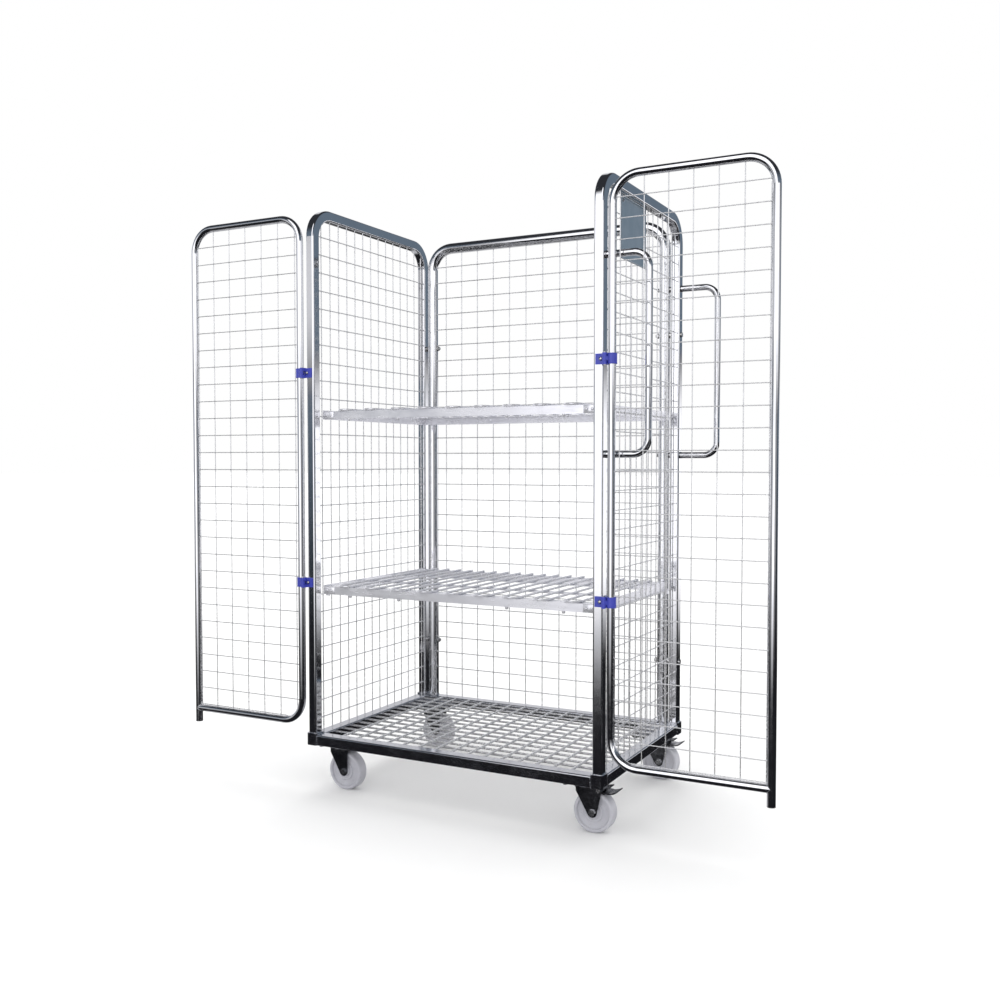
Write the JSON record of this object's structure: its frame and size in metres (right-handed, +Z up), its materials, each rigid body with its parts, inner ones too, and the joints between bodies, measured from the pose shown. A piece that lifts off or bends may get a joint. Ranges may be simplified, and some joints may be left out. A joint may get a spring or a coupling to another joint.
{
  "type": "roll cage container",
  "caption": "Wheeled wire-mesh roll cage with hanging shelves, front half doors on clip hinges, side push handles and braked swivel castors.",
  "frame": {"origin": "on the floor, under the middle of the cage's footprint", "axes": "+X to the right along the open front, +Y from the front to the back panel, +Z up"},
  "size_m": [1.728, 0.6325, 1.63],
  "materials": {
    "plated_tube": "bright zinc plate on drawn tube",
    "plated_wire": "bright zinc plate on welded wire",
    "shelf_steel": "bright zinc plate, slightly lilac",
    "base_steel": "smooth zinc plate",
    "castor_steel": "pressed and zinc plated",
    "fastener_steel": "zinc plated fasteners",
    "blue_clip": "moulded blue nylon",
    "wheel_polyamide": "moulded light grey polyamide",
    "sign_grey": "slate grey enamel",
    "plug_plastic": "moulded black plastic"
  },
  "bodies": {
    "cage": {"back_bolts": "fastener_steel", "back_frame": "plated_tube", "back_mesh": "plated_wire", "back_nuts": "fastener_steel", "back_spacers": "fastener_steel", "base_gussets": "base_steel", "base_rails_long": "base_steel", "base_rails_side": "base_steel", "castor_kingpins": "fastener_steel", "castor_plates": "castor_steel", "castor_races": "castor_steel", "corner_sockets": "base_steel", "deck_wires_across": "plated_wire", "deck_wires_front_back": "plated_wire", "handle_bolts": "fastener_steel", "handle_front": "plated_tube", "handle_inserts": "fastener_steel", "handle_rear": "plated_tube", "hinge_pins": "fastener_steel", "hinge_post_clips": "blue_clip", "hinge_screws": "fastener_steel", "shelf_lower_bands": "shelf_steel", "shelf_lower_hooks": "shelf_steel", "shelf_lower_rails": "shelf_steel", "shelf_lower_sides": "shelf_steel", "shelf_lower_wires": "shelf_steel", "shelf_upper_bands": "shelf_steel", "shelf_upper_hooks": "shelf_steel", "shelf_upper_rails": "shelf_steel", "shelf_upper_sides": "shelf_steel", "shelf_upper_wires": "shelf_steel", "side_frame_left": "plated_tube", "side_frame_right": "plated_tube", "side_mesh_left": "plated_wire", "side_mesh_right": "plated_wire", "sign_plate": "sign_grey"},
    "door_left": {"door_frame_left": "plated_tube", "door_mesh_left": "plated_wire", "door_plug_left": "plug_plastic", "hinge_door_clips_left": "blue_clip"},
    "door_right": {"door_frame_right": "plated_tube", "door_mesh_right": "plated_wire", "door_plug_right": "plug_plastic", "hinge_door_clips_right": "blue_clip"},
    "swivel_front_left": {"fork_front_left": "castor_steel", "axle_front_left": "fastener_steel"},
    "roller_front_left": {"wheel_front_left": "wheel_polyamide"},
    "swivel_front_right": {"fork_front_right": "castor_steel", "axle_front_right": "fastener_steel", "pedal_pin_front_right": "fastener_steel"},
    "roller_front_right": {"wheel_front_right": "wheel_polyamide"},
    "pedal_front_right": {"brake_pedal_front_right": "castor_steel"},
    "swivel_rear_left": {"fork_rear_left": "castor_steel", "axle_rear_left": "fastener_steel"},
    "roller_rear_left": {"wheel_rear_left": "wheel_polyamide"},
    "swivel_rear_right": {"fork_rear_right": "castor_steel", "axle_rear_right": "fastener_steel", "pedal_pin_rear_right": "fastener_steel"},
    "roller_rear_right": {"wheel_rear_right": "wheel_polyamide"},
    "pedal_rear_right": {"brake_pedal_rear_right": "castor_steel"}
  },
  "joints": [
    {"name": "door_left_hinge", "type": "hinge", "parent": "cage", "child": "door_left", "pos_m": [-0.452, -0.317, 0.6], "axis": [0, 0, 1], "range_deg": [-20, 180]},
    {"name": "door_right_hinge", "type": "hinge", "parent": "cage", "child": "door_right", "pos_m": [0.452, -0.317, 0.6], "axis": [0, 0, 1], "range_deg": [-180, 2.5]},
    {"name": "swivel_turn_front_left", "type": "hinge", "parent": "cage", "child": "swivel_front_left", "pos_m": [-0.377, -0.25, 0.115], "axis": [0, 0, 1], "continuous": true},
    {"name": "wheel_spin_front_left", "type": "hinge", "parent": "swivel_front_left", "child": "roller_front_left", "pos_m": [-0.349, -0.25, 0.053], "axis": [0, 1, 0], "continuous": true},
    {"name": "swivel_turn_front_right", "type": "hinge", "parent": "cage", "child": "swivel_front_right", "pos_m": [0.377, -0.25, 0.115], "axis": [0, 0, 1], "continuous": true},
    {"name": "wheel_spin_front_right", "type": "hinge", "parent": "swivel_front_right", "child": "roller_front_right", "pos_m": [0.405, -0.25, 0.053], "axis": [0, 1, 0], "continuous": true},
    {"name": "brake_press_front_right", "type": "hinge", "parent": "swivel_front_right", "child": "pedal_front_right", "pos_m": [0.421, -0.25, 0.11], "axis": [0, 1, 0], "range_deg": [0, 6]},
    {"name": "swivel_turn_rear_left", "type": "hinge", "parent": "cage", "child": "swivel_rear_left", "pos_m": [-0.377, 0.25, 0.115], "axis": [0, 0, 1], "continuous": true},
    {"name": "wheel_spin_rear_left", "type": "hinge", "parent": "swivel_rear_left", "child": "roller_rear_left", "pos_m": [-0.349, 0.25, 0.053], "axis": [0, 1, 0], "continuous": true},
    {"name": "swivel_turn_rear_right", "type": "hinge", "parent": "cage", "child": "swivel_rear_right", "pos_m": [0.377, 0.25, 0.115], "axis": [0, 0, 1], "continuous": true},
    {"name": "wheel_spin_rear_right", "type": "hinge", "parent": "swivel_rear_right", "child": "roller_rear_right", "pos_m": [0.405, 0.25, 0.053], "axis": [0, 1, 0], "continuous": true},
    {"name": "brake_press_rear_right", "type": "hinge", "parent": "swivel_rear_right", "child": "pedal_rear_right", "pos_m": [0.421, 0.25, 0.11], "axis": [0, 1, 0], "range_deg": [0, 6]}
  ]
}
